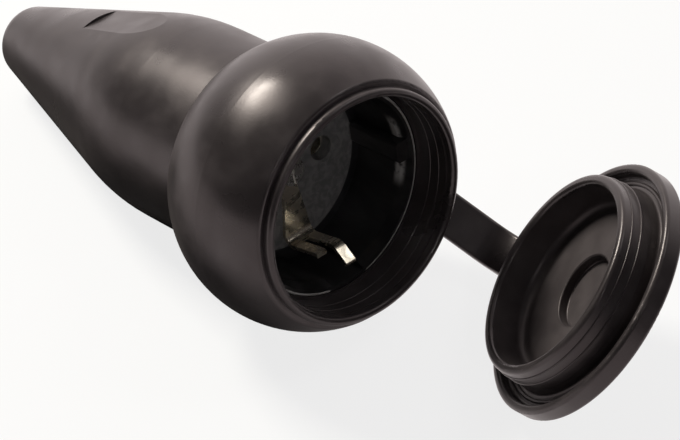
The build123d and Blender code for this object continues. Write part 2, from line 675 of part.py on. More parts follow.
def clamp_screw_hole(side, top, depth, clearance=PRESS_CLEARANCE):
    """An upright hole for one of the two clamp screws."""
    place = Pos(CLAMP_SCREW_X, side * SADDLE_SCREW_Y, top - depth / 2)
    return place * Cylinder(SCREW_RADIUS + clearance, depth)


def clamp_bridge():
    """The strap of the cord clamp: two flat ears and an arch over the cable."""
    bottom = BRIDGE_GAP / 2
    top = bottom + BRIDGE_THICKNESS
    x_range = (SADDLE_BACK_X, SADDLE_FRONT_X)
    bridge = block(x_range, (-SADDLE_HALF_WIDTH, SADDLE_HALF_WIDTH), (bottom, top))
    arch = tube(SADDLE_FRONT_X, SADDLE_BACK_X, CABLE_RADIUS + SADDLE_WALL)
    above = block(x_range, (-SADDLE_HALF_WIDTH, SADDLE_HALF_WIDTH), (bottom, SADDLE_HALF_WIDTH))
    bridge += arch & above
    bridge -= tube(SADDLE_FRONT_X, SADDLE_BACK_X, CABLE_RADIUS)
    for side in (-1, 1):
        bridge -= clamp_screw_hole(side, top, BRIDGE_THICKNESS, PIECE_CLEARANCE)
    return bridge


def clamp_screw(side):
    """One of the two screws that draw the bridge down on the cable."""
    top = BRIDGE_GAP / 2 + BRIDGE_THICKNESS
    screw = cheese_head_screw(CLAMP_SCREW_REACH, SCREW_RADIUS, SCREW_HEAD_RADIUS)
    return Pos(CLAMP_SCREW_X, side * SADDLE_SCREW_Y, top) * screw


# Every piece, on the bench

PIECES = {
    "rubber_body": rubber_body(),
    "cap_strap": cap_strap(),
    "sealing_cap": sealing_cap(),
    "socket_insert": socket_insert(),
    "contact_carrier": contact_carrier(),
    "live_contact": contact(1),
    "neutral_contact": contact(-1),
    "live_clamp_ring": clamp_ring(1),
    "neutral_clamp_ring": clamp_ring(-1),
    "earth_bow": earth_bow(),
    "earth_terminal": earth_terminal(),
    "centre_screw": centre_screw(),
    "live_terminal_screw": terminal_screw(TERMINAL_SCREW_X, PIN_SPACING / 2),
    "neutral_terminal_screw": terminal_screw(TERMINAL_SCREW_X, -PIN_SPACING / 2),
    "earth_terminal_screw": terminal_screw(EARTH_SCREW_X, 0),
    "clamp_bridge": clamp_bridge(),
    "clamp_screw_far": clamp_screw(1),
    "clamp_screw_near": clamp_screw(-1),
}

# Laid on the table: pitched mouth up, then moved so that the origin is under the middle of the whole object

LAID = {name: Rot(0, -PITCH, 0) * piece for name, piece in PIECES.items()}
BOX = Compound(children=[Solid(piece.solid().wrapped) for piece in LAID.values()]).bounding_box()
SHIFT = Vector(-(BOX.min.X + BOX.max.X) / 2, -(BOX.min.Y + BOX.max.Y) / 2, -BOX.min.Z)

os.makedirs("parts", exist_ok=True)
for name, piece in LAID.items():
    export_step(Pos(SHIFT) * piece, f"parts/{name}.step")
    print(name, "solids", len(piece.solids()), "volume", round(piece.volume, 1))
print("pitch", round(PITCH, 3), "opening", round(OPENING, 3), "box", BOX.size)
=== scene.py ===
"""Dresses the rubber cable coupler: a finish for each piece, the soft strap, fine rings and the studio."""

import json
import logging
import math
from dataclasses import dataclass
from enum import Enum
from typing import Dict, List, Mapping, Optional, Sequence, Tuple, Union

import bpy
from mathutils import Matrix, Vector


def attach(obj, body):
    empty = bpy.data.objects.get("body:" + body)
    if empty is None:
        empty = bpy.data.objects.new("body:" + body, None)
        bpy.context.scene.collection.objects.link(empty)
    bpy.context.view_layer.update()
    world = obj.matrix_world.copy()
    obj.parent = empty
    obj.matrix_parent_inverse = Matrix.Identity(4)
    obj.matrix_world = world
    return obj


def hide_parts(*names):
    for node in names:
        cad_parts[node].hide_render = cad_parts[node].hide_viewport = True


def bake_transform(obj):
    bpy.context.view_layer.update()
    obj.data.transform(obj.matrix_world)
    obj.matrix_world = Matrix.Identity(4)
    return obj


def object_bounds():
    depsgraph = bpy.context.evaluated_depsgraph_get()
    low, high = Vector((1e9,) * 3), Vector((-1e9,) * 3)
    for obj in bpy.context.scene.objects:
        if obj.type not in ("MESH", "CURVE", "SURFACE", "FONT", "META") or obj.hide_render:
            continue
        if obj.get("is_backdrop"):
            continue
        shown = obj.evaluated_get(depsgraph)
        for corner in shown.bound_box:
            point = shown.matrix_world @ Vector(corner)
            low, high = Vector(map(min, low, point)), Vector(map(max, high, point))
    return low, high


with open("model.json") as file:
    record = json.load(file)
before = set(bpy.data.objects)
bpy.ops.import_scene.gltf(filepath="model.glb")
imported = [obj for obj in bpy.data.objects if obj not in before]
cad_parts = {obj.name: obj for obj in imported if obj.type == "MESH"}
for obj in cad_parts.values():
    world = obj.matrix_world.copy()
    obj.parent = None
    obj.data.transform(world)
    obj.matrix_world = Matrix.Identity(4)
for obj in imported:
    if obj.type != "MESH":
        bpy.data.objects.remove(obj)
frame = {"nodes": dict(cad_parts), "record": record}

LOG = logging.getLogger("cable_coupler")
MM = 0.001
FULL_TURN = 2 * math.pi
QUARTER_TURN = FULL_TURN / 4

Colour = Tuple[float, float, float, float]
Triple = Tuple[float, float, float]
Span = Tuple[float, float]
Key = Union[int, str]
Value = Union["Shade", float, Sequence[float]]

WHITE: Colour = (1, 1, 1, 1)


class Body(Enum):
    """The two bodies that move against each other."""

    COUPLER = "coupler"
    CAP = "cap"


class Slot(Enum):
    """A material slot of the record, which nothing here uses."""

    RUBBER = "rubber"


class Ray(Enum):
    """The ways in which light can reach a surface."""

    CAMERA = "Is Camera Ray"
    GLOSSY = "Is Glossy Ray"
    TRANSMISSION = "Is Transmission Ray"


class Mixed(Enum):
    """What a Mix node mixes, with the numbers of its two inputs and of its result."""

    COLOUR = ("RGBA", 6, 7, 2)
    VECTOR = ("VECTOR", 4, 5, 1)


# Shader expressions

class Shade:
    """A shader socket that takes part in Python arithmetic: each operator adds one Math node."""

    def __init__(self, graph: "Graph", socket: bpy.types.NodeSocket) -> None:
        """Remember the socket and the graph that it belongs to."""
        self.graph = graph
        self.socket = socket

    def _maths(self, operation: str, first: Value, second: Value) -> "Shade":
        """Result of a Math node on two values."""
        return self.graph.node("ShaderNodeMath", {"operation": operation}, {0: first, 1: second})

    def __add__(self, other: Value) -> "Shade":
        """Sum of this and another value."""
        return self._maths("ADD", self, other)

    def __radd__(self, other: Value) -> "Shade":
        """Sum of another value and this."""
        return self._maths("ADD", other, self)

    def __sub__(self, other: Value) -> "Shade":
        """This less another value."""
        return self._maths("SUBTRACT", self, other)

    def __rsub__(self, other: Value) -> "Shade":
        """Another value less this."""
        return self._maths("SUBTRACT", other, self)

    def __mul__(self, other: Value) -> "Shade":
        """Product of this and another value."""
        return self._maths("MULTIPLY", self, other)

    def __rmul__(self, other: Value) -> "Shade":
        """Product of another value and this."""
        return self._maths("MULTIPLY", other, self)

    def __abs__(self) -> "Shade":
        """This without its sign."""
        return self._maths("ABSOLUTE", self, 0.0)

    def between(self, low: float, high: float) -> "Shade":
        """A smooth step from 0 at the low value to 1 at the high one."""
        smooth = {"interpolation_type": "SMOOTHSTEP"}
        return self.graph.node("ShaderNodeMapRange", smooth, {"Value": self, 1: low, 2: high})

    def band(self, rise: Span, fall: Span) -> "Shade":
        """1 between two soft edges, one that it rises over and one that it falls over, and 0 outside."""
        return self.between(*rise) * (1 - self.between(*fall))


@dataclass(frozen=True)
class Noise:
    """Soft noise with features of a real size.

    Attributes:
        size: width of the largest features, in metres.
        detail: how many finer octaves are added.
        stretch: how much longer the features are along each axis.
        warp: how far the noise distorts itself.
    """

    size: float
    detail: float
    stretch: Triple = (1, 1, 1)
    warp: float = 0.0


@dataclass(frozen=True)
class Patches(Noise):
    """Noise that is cut to patches with soft edges.

    Attributes:
        span: where in the noise a patch starts and where it is full.
    """

    span: Span = (0.0, 1.0)


class Graph:
    """The node tree of one material or of the world."""

    def __init__(self, tree: bpy.types.NodeTree) -> None:
        """Start from an empty tree."""
        self.tree = tree
        self.tree.nodes.clear()

    def node(
        self,
        kind: str,
        settings: Optional[Mapping[str, object]] = None,
        inputs: Optional[Mapping[Key, Value]] = None,
        output: Key = 0,
    ) -> Shade:
        """Add one node of any type.

        Args:
            kind: the node's type.
            settings: its own properties, such as an operation, which are set first.
            inputs: values or links of its sockets, by name or number.
            output: the output socket to hand back, by name or number.

        Returns:
            The chosen output, or the first input of a node that has no outputs.
        """
        made = self.tree.nodes.new(kind)
        for name, setting in (settings or {}).items():
            setattr(made, name, setting)
        for key, value in (inputs or {}).items():
            if isinstance(value, Shade):
                self.tree.links.new(value.socket, made.inputs[key])
            else:
                made.inputs[key].default_value = value
        return Shade(self, made.outputs[output] if made.outputs else made.inputs[0])

    def place(self) -> Shade:
        """Where a surface point is on its own object, in metres."""
        return self.node("ShaderNodeTexCoord", output="Object")

    def vector(self, operation: str, first: Value, second: Value) -> Shade:
        """Vector that a Vector Math node gives for two vectors."""
        return self.node("ShaderNodeVectorMath", {"operation": operation}, {0: first, 1: second})

    def amount(self, operation: str, first: Value, second: Value = (0, 0, 0)) -> Shade:
        """Number that a Vector Math node gives for one vector or two."""
        inputs = {0: first, 1: second}
        return self.node("ShaderNodeVectorMath", {"operation": operation}, inputs, output="Value")

    def noise(self, noise: Noise) -> Shade:
        """Spread soft noise over the surface.

        Args:
            noise: the noise's size and kind.

        Returns:
            A value from 0 to 1 that stays mostly near the middle.
        """
        scale = [1 / (noise.size * share) for share in noise.stretch]
        inputs = {
            "Vector": self.vector("MULTIPLY", self.place(), scale),
            "Scale": 1.0,
            "Detail": noise.detail,
            "Distortion": noise.warp,
        }
        return self.node("ShaderNodeTexNoise", inputs=inputs)

    def patches(self, patches: Patches) -> Shade:
        """1 in the patches and 0 between them."""
        return self.noise(patches).between(*patches.span)

    def cells(self, size: float) -> Shade:
        """Distance from the middle of the nearest of many scattered spots, in spot widths."""
        return self.node("ShaderNodeTexVoronoi", inputs={"Vector": self.place(), "Scale": 1 / size})

    def reach(self, middle: Triple, way: Triple) -> Shade:
        """How far a surface point is from a middle in one direction, in metres."""
        return self.amount("DOT_PRODUCT", self.vector("SUBTRACT", self.place(), middle), way)

    def round_place(self, middle: Triple, axis: Triple) -> Tuple[Shade, Shade]:
        """Where a surface point is about an axis.

        Args:
            middle: a point on the axis.
            axis: the axis's direction.

        Returns:
            How far along the axis the point is, and how far from it, in metres.
        """
        away = self.vector("SUBTRACT", self.place(), middle)
        across = self.vector("SUBTRACT", away, self.vector("PROJECT", away, axis))
        return self.amount("DOT_PRODUCT", away, axis), self.amount("LENGTH", across)

    def ray(self, kind: Ray) -> Shade:
        """1 for light that reaches the surface in one way, and 0 for the rest."""
        return self.node("ShaderNodeLightPath", output=kind.value)

    def looked_at(self) -> Shade:
        """1 where the camera sees the surface, straight or through glass, and 0 for other light."""
        return self.ray(Ray.CAMERA) + self.ray(Ray.TRANSMISSION)

    def mix(self, share: Shade, first: Value, second: Value, what: Mixed = Mixed.COLOUR) -> Shade:
        """Colour or vector that goes from the first to the second as the share goes from 0 to 1."""
        kind, one, other, result = what.value
        return self.node("ShaderNodeMix", {"data_type": kind}, {0: share, one: first, other: second}, result)

    def bump(self, height: Shade, depth: float, normal: Optional[Shade] = None) -> Shade:
        """Tilt the normal as a relief of a real depth would.

        Args:
            height: relief from 0 to 1.
            depth: depth of the whole relief, in metres.
            normal: a normal to add to, if any.

        Returns:
            The tilted normal.
        """
        inputs: Dict[Key, Value] = {"Height": height, "Distance": depth, "Strength": 1.0}
        if normal is not None:
            inputs["Normal"] = normal
        return self.node("ShaderNodeBump", inputs=inputs)


# Finishes

@dataclass(frozen=True)
class Finish:
    """One surface finish, made into a material on first use."""

    name: str

    def material(self) -> bpy.types.Material:
        """Give the finish as a material.

        Returns:
            The material already made for this finish, or a new one.
        """
        known = bpy.data.materials.get(self.name)
        if known is not None:
            return known
        made = bpy.data.materials.new(self.name)
        made.use_nodes = True
        graph = Graph(made.node_tree)
        graph.node("ShaderNodeOutputMaterial", inputs={"Surface": self.surface(graph)})
        return made

    def surface(self, graph: Graph) -> Shade:
        """Build the shader of this finish and give its output."""
        raise NotImplementedError


@dataclass(frozen=True)
class MouldedRubber(Finish):
    """Black moulded rubber with a chalky bloom and a smooth skin that is worn dull in patches.

    Attributes:
        black: colour of clean rubber.
        bloom: colour of the bloom on it.
        bloom_share: how much the bloom covers at most.
        mottle: fine clouds in the bloom and the wear.
        mottle_span: where in the fine clouds the bloom starts and is full.
        smear: broad clouds in the bloom and the wear.
        smear_span: where in the broad clouds the bloom starts and is full.
        speck: how far apart specks of dust lie.
        speck_span: where a speck is full and where it ends.
        dust: patches that the specks lie in.
        dust_share: how much a speck covers.
        smear_part: how much of the wear follows the broad clouds; the rest follows the fine ones.
        wear_span: where in those clouds the wear starts and is full.
        refraction: index of refraction.
        tint: tint of its gloss.
        satin: roughness where it is smooth.
        matte: roughness where it is worn.
        skin: greatest weight of the smooth moulded skin.
        skin_rough: roughness of that skin.
        fuzz: weight of the dusty sheen that shows along its outline.
        fuzz_rough: roughness of that sheen.
        grain: the mould's grain.
        grain_depth: depth of that grain.
        wave: soft waves in a thick moulding.
        wave_depth: depth of those waves.
    """

    black: Colour = (0.026, 0.022, 0.023, 1)
    bloom: Colour = (0.1, 0.087, 0.089, 1)
    bloom_share: float = 0.34
    mottle: Noise = Noise(6 * MM, 5.0)
    mottle_span: Span = (0.35, 0.75)
    smear: Noise = Noise(22 * MM, 3.0, warp=0.8)
    smear_span: Span = (0.3, 0.7)
    speck: float = 1.6 * MM
    speck_span: Span = (0.04, 0.16)
    dust: Patches = Patches(9 * MM, 2.0, span=(0.55, 0.75))
    dust_share: float = 0.25
    smear_part: float = 0.6
    wear_span: Span = (0.3, 0.7)
    refraction: float = 1.52
    tint: Colour = (1.0, 0.88, 0.88, 1)
    satin: float = 0.25
    matte: float = 0.4
    skin: float = 0.25
    skin_rough: float = 0.2
    fuzz: float = 0.05
    fuzz_rough: float = 0.4
    grain: Noise = Noise(0.35 * MM, 2.0)
    grain_depth: float = 0.012 * MM
    wave: Noise = Noise(11 * MM, 1.0)
    wave_depth: float = 0.2 * MM

    def cover(self, graph: Graph, mottle: Shade, smear: Shade) -> Shade:
        """How much bloom and dust there is.

        Args:
            graph: the material's nodes.
            mottle: the fine clouds.
            smear: the broad clouds.

        Returns:
            A share from 0 to 1.
        """
        specks = 1 - graph.cells(self.speck).between(*self.speck_span)
        dusty = specks * graph.patches(self.dust)
        chalky = mottle.between(*self.mottle_span) * self.bloom_share * smear.between(*self.smear_span)
        return chalky + dusty * self.dust_share

    def wear(self, graph: Graph, mottle: Shade, smear: Shade) -> Shade:
        """How far the skin is worn dull, from 0 to 1."""
        return (smear * self.smear_part + mottle * (1 - self.smear_part)).between(*self.wear_span)

    def lie(self, graph: Graph) -> Optional[Shade]:
        """The normal that the relief starts from, where it isn't the mesh's own."""
        return None

    def surface(self, graph: Graph) -> Shade:
        """Mottled black under a bloom, with grain and soft waves in its relief.

        Args:
            graph: the material's nodes.

        Returns:
            The shader.
        """
        mottle = graph.noise(self.mottle)
        smear = graph.noise(self.smear)
        worn = self.wear(graph, mottle, smear)
        waves = graph.bump(graph.noise(self.wave), self.wave_depth, self.lie(graph))
        relief = graph.bump(graph.noise(self.grain), self.grain_depth, waves)
        return graph.node(
            "ShaderNodeBsdfPrincipled",
            inputs={
                "Base Color": graph.mix(self.cover(graph, mottle, smear), self.black, self.bloom),
                "Roughness": self.satin + worn * (self.matte - self.satin),
                "IOR": self.refraction,
                "Specular Tint": self.tint,
                "Coat Weight": (1 - worn) * self.skin,
                "Coat Roughness": self.skin_rough,
                "Sheen Weight": self.fuzz,
                "Sheen Roughness": self.fuzz_rough,
                "Sheen Tint": self.tint,
                "Normal": relief,
            },
        )


@dataclass(frozen=True)
class DishRubber(MouldedRubber):
    """The cap's rubber, with painted light on the floor of its dish, laid as extra bloom colour, and no
    smooth skin inside it.

    Attributes:
        middle: where the cap's axis meets the mouth's plane of the closed cap.
        along: direction of the cap's axis, out of its back.
        edge: how softly a change in the finish ends.
        floor_from: where the dish's floor starts along the axis.
        floor_to: where it ends.
        floor_radius: radius of the floor.
        floor_painted_light: how much painted light, in the bloom's colour, covers the dish's floor.
        floor_even: how much of that painted light is even; the rest follows the fine clouds.
        floor_span: where in the fine clouds that rest starts and is full.
        recess_radius: radius of the recess, whose wall is left out of the painted light.
        lip: where the dish's wall starts along the axis.
        dish_radius: greatest radius of that wall.
        crown_top: where the middle of the crowned back lies along the axis.
        crown: radius of the crown.
        crown_middle: radius round that middle in which the crown's normal is worked out.
    """

    middle: Triple = (0, 0, 0)
    along: Triple = (1, 0, 0)
    edge: float = 1.0 * MM
    floor_from: float = 1.7 * MM
    floor_to: float = 4.2 * MM
    floor_radius: float = 17.4 * MM
    floor_painted_light: float = 0.75
    floor_even: float = 0.7
    floor_span: Span = (0.35, 0.65)
    recess_radius: float = 7.5 * MM
    lip: float = -4.8 * MM
    dish_radius: float = 19.3 * MM
    crown_top: float = 6.4 * MM
    crown: float = 179.2 * MM
    crown_middle: float = 4.0 * MM

    def cover(self, graph: Graph, mottle: Shade, smear: Shade) -> Shade:
        """The rubber's own bloom, and painted light on the dish's floor.

        Args:
            graph: the material's nodes.
            mottle: the fine clouds.
            smear: the broad clouds.

        Returns:
            A share from 0 to 1.
        """
        height, radius = graph.round_place(self.middle, self.along)
        half, quarter = self.edge / 2, self.edge / 4
        start, end = self.floor_from, self.floor_to
        deep = height.band((start - self.edge, start), (end, end + quarter))
        inside = 1 - radius.between(self.floor_radius - 2 * self.edge, self.floor_radius)
        wall = radius.band(
            (self.recess_radius - half, self.recess_radius - quarter),
            (self.recess_radius + quarter, self.recess_radius + half),
        )
        cloudy = self.floor_even + (1 - self.floor_even) * mottle.between(*self.floor_span)
        # Painted light: the dish's flat floor is made paler than the wall round it, and the recess wall is
        # left out.
        painted_light = deep * inside * (1 - wall) * cloudy
        return super().cover(graph, mottle, smear) + painted_light * self.floor_painted_light

    def wear(self, graph: Graph, mottle: Shade, smear: Shade) -> Shade:
        """The rubber's own wear, and dull all over inside the dish.

        Args:
            graph: the material's nodes.
            mottle: the fine clouds.
            smear: the broad clouds.

        Returns:
            A share from 0 to 1.
        """
        height, radius = graph.round_place(self.middle, self.along)
        quarter = self.edge / 4
        deep = height.band((self.lip, self.lip + self.edge), (self.floor_to, self.floor_to + quarter))
        inside = deep * (1 - radius.between(self.dish_radius - quarter, self.dish_radius))
        worn = super().wear(graph, mottle, smear)
        return worn + (1 - worn) * inside

    def lie(self, graph: Graph) -> Optional[Shade]:
        """The mesh's normal, evened to a round crown's where narrow faces meet in the middle of the back.

        Args:
            graph: the material's nodes.

        Returns:
            The normal.
        """
        height, radius = graph.round_place(self.middle, self.along)
        centre = Vector(self.middle) + Vector(self.along) * (self.crown_top - self.crown)
        outward = graph.node(
            "ShaderNodeVectorTransform",
            {"vector_type": "NORMAL", "convert_from": "OBJECT", "convert_to": "WORLD"},
            {"Vector": graph.vector("SUBTRACT", graph.place(), tuple(centre))},
        )
        back = height.between(self.crown_top - self.edge, self.crown_top - self.edge / 2)
        evened = back * (1 - radius.between(self.crown_middle, self.crown_middle + self.edge))
        own = graph.node("ShaderNodeNewGeometry", output="Normal")
        return graph.mix(evened, own, outward, Mixed.VECTOR)


@dataclass(frozen=True)
class MouldedPlastic(Finish):
    """Hard moulded plastic with a fine spark-eroded grain and faint flow marks.

    Attributes:
        dark: colour in the hollows of the flow marks.
        light: colour on their crests.
        flow: the flow marks.
        cloud: patches of greater roughness.
        refraction: index of refraction.
        satin: least roughness.
        matte: greatest roughness.
        grain: the grain.
        grain_depth: depth of the grain.
    """

    dark: Colour = (0.008, 0.008, 0.0085, 1)
    light: Colour = (0.02, 0.019, 0.02, 1)
    flow: Patches = Patches(3 * MM, 4.0, stretch=(3, 1, 1), warp=0.6, span=(0.35, 0.7))
    cloud: Patches = Patches(8 * MM, 2.0, span=(0.3, 0.7))
    refraction: float = 1.5
    satin: float = 0.28
    matte: float = 0.42
    grain: Noise = Noise(0.25 * MM, 2.0)
    grain_depth: float = 0.008 * MM

    def colour(self, graph: Graph) -> Shade:
        """Dark and light in long flow marks."""
        return graph.mix(graph.patches(self.flow), self.dark, self.light)

    def surface(self, graph: Graph) -> Shade:
        """Streaked dark plastic with grain in its relief.

        Args:
            graph: the material's nodes.

        Returns:
            The shader.
        """
        return graph.node(
            "ShaderNodeBsdfPrincipled",
            inputs={
                "Base Color": self.colour(graph),
                "Roughness": self.satin + graph.patches(self.cloud) * (self.matte - self.satin),
                "IOR": self.refraction,
                "Normal": graph.bump(graph.noise(self.grain), self.grain_depth),
            },
        )


@dataclass(frozen=True)
class WellPlastic(MouldedPlastic):
    """The well's plastic, with a paler disc on its floor that has dusty patches, and painted highlights at
    its front.

    Attributes:
        mouth: middle of the mouth.
        along: direction of the coupler's axis, out of the mouth.
        upward: direction across the guide ribs.
        sideways: direction across the earth clips' slots.
        edge: how softly a change in the colour ends.
        front_depth: how deep the well's front lies behind the mouth.
        front_radius: where the painted highlight on the front's outer edge starts.
        slot_half: half the width of the gap that a slot leaves in that edge.
        wall_radius: radius of the well's wall.
        rib_half: half the width of a guide rib.
        glint_width: how far the painted highlights reach beside a rib.
        glint_from: how far behind the front the painted highlights start.
        glint_to: how far behind it they end.
        glint_edge: how softly they end.
        glint_patches: patches that the painted highlights consist of.
        painted_glint: colour of the painted highlights.
        floor_depth: how deep the floor lies behind the mouth.
        floor_radius: radius of the pale disc on the floor.
        dust: patches of dust on that disc.
        pale: colour of the floor disc.
        dusty: colour of the dust on it.
    """

    mouth: Triple = (0, 0, 0)
    along: Triple = (1, 0, 0)
    upward: Triple = (0, 0, 1)
    sideways: Triple = (0, 1, 0)
    edge: float = 0.3 * MM
    front_depth: float = 7.8 * MM
    front_radius: float = 21.0 * MM
    slot_half: float = 5.0 * MM
    wall_radius: float = 19.5 * MM
    rib_half: float = 2.3 * MM
    glint_width: float = 6.5 * MM
    glint_from: float = 1.0 * MM
    glint_to: float = 4.4 * MM
    glint_edge: float = 1.2 * MM
    glint_patches: Patches = Patches(1.2 * MM, 3.0, span=(0.25, 0.5))
    painted_glint: Colour = (0.56, 0.54, 0.525, 1)
    floor_depth: float = 23.0 * MM
    floor_radius: float = 17.8 * MM
    dust: Patches = Patches(1.4 * MM, 5.0, warp=0.7, span=(0.35, 0.7))
    pale: Colour = (0.17, 0.165, 0.165, 1)
    dusty: Colour = (0.27, 0.26, 0.255, 1)

    def colour(self, graph: Graph) -> Shade:
        """Dark walls with flow marks, the pale disc on the floor and the painted highlights at the front.

        Args:
            graph: the material's nodes.

        Returns:
            The colour.
        """
        depth, radius = graph.round_place(self.mouth, self.along)
        deep = 1 - depth.between(self.edge - self.floor_depth, 2 * self.edge - self.floor_depth)
        inside = 1 - radius.between(self.floor_radius - self.edge, self.floor_radius)
        disc = graph.mix(graph.patches(self.dust), self.pale, self.dusty)
        plain = graph.mix(deep * inside, super().colour(graph), disc)
        front = depth.between(-self.front_depth - 2 * self.edge, -self.front_depth - self.edge)
        outer = radius.between(self.front_radius, self.front_radius + self.edge / 2)
        aside = abs(graph.reach(self.mouth, self.sideways))
        # Painted highlight: a thin pale line along the front's outer edge, broken at the slots.
        edge = front * outer * aside.between(self.slot_half - self.edge, self.slot_half)
        return graph.mix(edge + self.painted_rib_glints(graph, depth, radius), plain, self.painted_glint)

    def painted_rib_glints(self, graph: Graph, depth: Shade, radius: Shade) -> Shade:
        """Painted highlights behind the front on both sides of each rib, where the wall's edge reflects the
        bright floor.

        Args:
            graph: the material's nodes.
            depth: place along the axis, from the mouth.
            radius: distance from the axis.

        Returns:
            A share from 0 to 1.
        """
        # The marks are painted highlights: pale patches on the wall's edge beside each rib.
        height = abs(graph.reach(self.mouth, self.upward))
        rib, end = self.rib_half, self.rib_half + self.glint_width
        first, last = -self.front_depth - self.glint_from, -self.front_depth - self.glint_to
        beside = height.band((rib, rib + self.edge), (end - self.glint_width / 2, end))
        behind = depth.band((last, last + self.glint_edge), (first - self.glint_edge, first))
        wall = radius.between(self.wall_radius - self.edge / 2, self.wall_radius - self.edge / 4)
        return beside * behind * wall * graph.patches(self.glint_patches)


@dataclass(frozen=True)
class StampedMetal(Finish):
    """Sheet or bar metal with fine rolling lines and some tarnish.

    Attributes:
        bright: colour of clean metal.
        tarnish: colour of dulled metal.
        tarnish_share: how much is dulled.
        stain: patches of tarnish.
        film: how much less of a metal full tarnish is.
        polish: least roughness.
        dull: greatest roughness.
        stain_part: how much of the roughness follows the tarnish; the rest follows the rolling lines.
        rolling: the rolling lines.
        rolling_depth: depth of those lines.
    """

    bright: Colour = (0.8, 0.73, 0.6, 1)
    tarnish: Colour = (0.4, 0.35, 0.28, 1)
    tarnish_share: float = 0.6
    stain: Patches = Patches(2.5 * MM, 3.0, warp=0.5, span=(0.3, 0.85))
    film: float = 0.5
    polish: float = 0.2
    dull: float = 0.48
    stain_part: float = 0.7
    rolling: Noise = Noise(0.3 * MM, 3.0, stretch=(1, 12, 1))
    rolling_depth: float = 0.0025 * MM

    def surface(self, graph: Graph) -> Shade:
        """Metal with rolling lines, dulled in patches.

        Args:
            graph: the material's nodes.

        Returns:
            The shader.
        """
        rolled = graph.noise(self.rolling)
        dulled = graph.patches(self.stain) * self.tarnish_share
        rough = dulled * self.stain_part + rolled * (1 - self.stain_part)
        return graph.node(
            "ShaderNodeBsdfPrincipled",
            inputs={
                "Base Color": graph.mix(dulled, self.bright, self.tarnish),
                "Metallic": 1 - dulled * self.film,
                "Roughness": self.polish + rough * (self.dull - self.polish),
                "Normal": graph.bump(rolled, self.rolling_depth),
            },
        )


@dataclass(frozen=True)
class PaleFloor(Finish):
    """A white sweep with the object's soft shadow on it, and painted shade in reflections close to the body.

    Attributes:
        white: colour that the camera sees.
        warm: colour that is reflected far from the body.
        dim: painted shade, a dark colour that glossy rays see on the floor close to the body.
        grey: colour for all other light.
        glow: how much of what the camera sees is plain white.
        middle: where the painted shade in reflections is darkest.
        squeeze: how much each axis counts in the distance from there, least along the body.
        near: how far from there the reflected white starts.
        far: where it is full.
    """

    white: Colour = (0.9, 0.9, 0.89, 1)
    warm: Colour = (1.0, 0.91, 0.9, 1)
    dim: Colour = (0.045, 0.044, 0.046, 1)
    grey: Colour = (0.1, 0.097, 0.098, 1)
    glow: float = 0.8
    middle: Triple = (-42 * MM, -30 * MM, 0)
    squeeze: Triple = (0.52, 1.0, 1.0)
    near: float = 28 * MM
    far: float = 58 * MM

    def surface(self, graph: Graph) -> Shade:
        """Matte, lifted towards plain white where it is looked at.

        Args:
            graph: the material's nodes.

        Returns:
            The shader.
        """
        looked_at = graph.looked_at()
        reflected = graph.ray(Ray.GLOSSY)
        spread = graph.vector("MULTIPLY", graph.vector("SUBTRACT", graph.place(), self.middle), self.squeeze)
        # Glossy rays see the dim colour near the body: painted shade that stands in for the body's shade on
        # the floor.
        colour = graph.mix(looked_at, graph.mix(reflected, self.grey, self.dim), self.white)
        matte = graph.node("ShaderNodeBsdfDiffuse", inputs={"Color": colour})
        plain = graph.mix(looked_at, self.warm, WHITE)
        white = graph.node("ShaderNodeEmission", inputs={"Color": plain, "Strength": 1.0})
        away = graph.amount("LENGTH", spread).between(self.near, self.far)
        lifted = looked_at * self.glow + reflected * away
        return graph.node("ShaderNodeMixShader", inputs={0: lifted, 1: matte, 2: white})


RUBBER = MouldedRubber("moulded_rubber")
CARRIER_PLASTIC = MouldedPlastic(
    "carrier_plastic",
    dark=(0.03, 0.03, 0.032, 1),
    light=(0.07, 0.07, 0.072, 1),
    matte=0.5,
)
BRASS = StampedMetal("stamped_brass")
ZINC = StampedMetal(
    "zinc_plate",
    bright=(0.66, 0.66, 0.64, 1),
    tarnish=(0.45, 0.43, 0.36, 1),
    tarnish_share=0.4,
    polish=0.24,
    dull=0.4,
    rolling=Noise(0.3 * MM, 3.0),
)
FLOOR = PaleFloor("pale_floor")


# Where things are

@dataclass(frozen=True)
class Bench:
    """Where the coupler lies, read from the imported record.

    Attributes:
        coupler: from the bench frame, X out of the mouth and Z up, to the row frame.
        cap: from the closed cap's place in the bench frame to where the cap hangs at rest.
        hinge: direction of the hinge's axis in the row frame.
    """

    coupler: Matrix
    cap: Matrix
    hinge: Vector

    @classmethod
    def from_record(cls, record: Mapping) -> "Bench":
        """Read the mouth and the hinge.

        Args:
            record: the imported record.

        Returns:
            The coupler's and the cap's places.
        """
        mouth = next(mount for mount in record["mounts"] if mount["name"] == "plug_mouth")
        along = Vector(mouth["axis"]).normalized()
        front = Vector(mouth["pos_m"]) + along * (mouth["dims"]["length_mm"] * MM / 2)
        side = Vector((0, 1, 0))
        turn = Matrix((along, side, along.cross(side))).transposed().to_4x4()
        coupler = Matrix.Translation(front) @ turn
        (joint,) = record["behaviour"]["joints"]
        closed, _ = joint["range_deg"]
        pivot = Matrix.Translation(joint["pos_m"])
        hinge = Vector(joint["axis"]).normalized()
        swing = Matrix.Rotation(math.radians(-closed), 4, hinge)
        return cls(coupler, pivot @ swing @ pivot.inverted() @ coupler, hinge)


# Mesh helpers

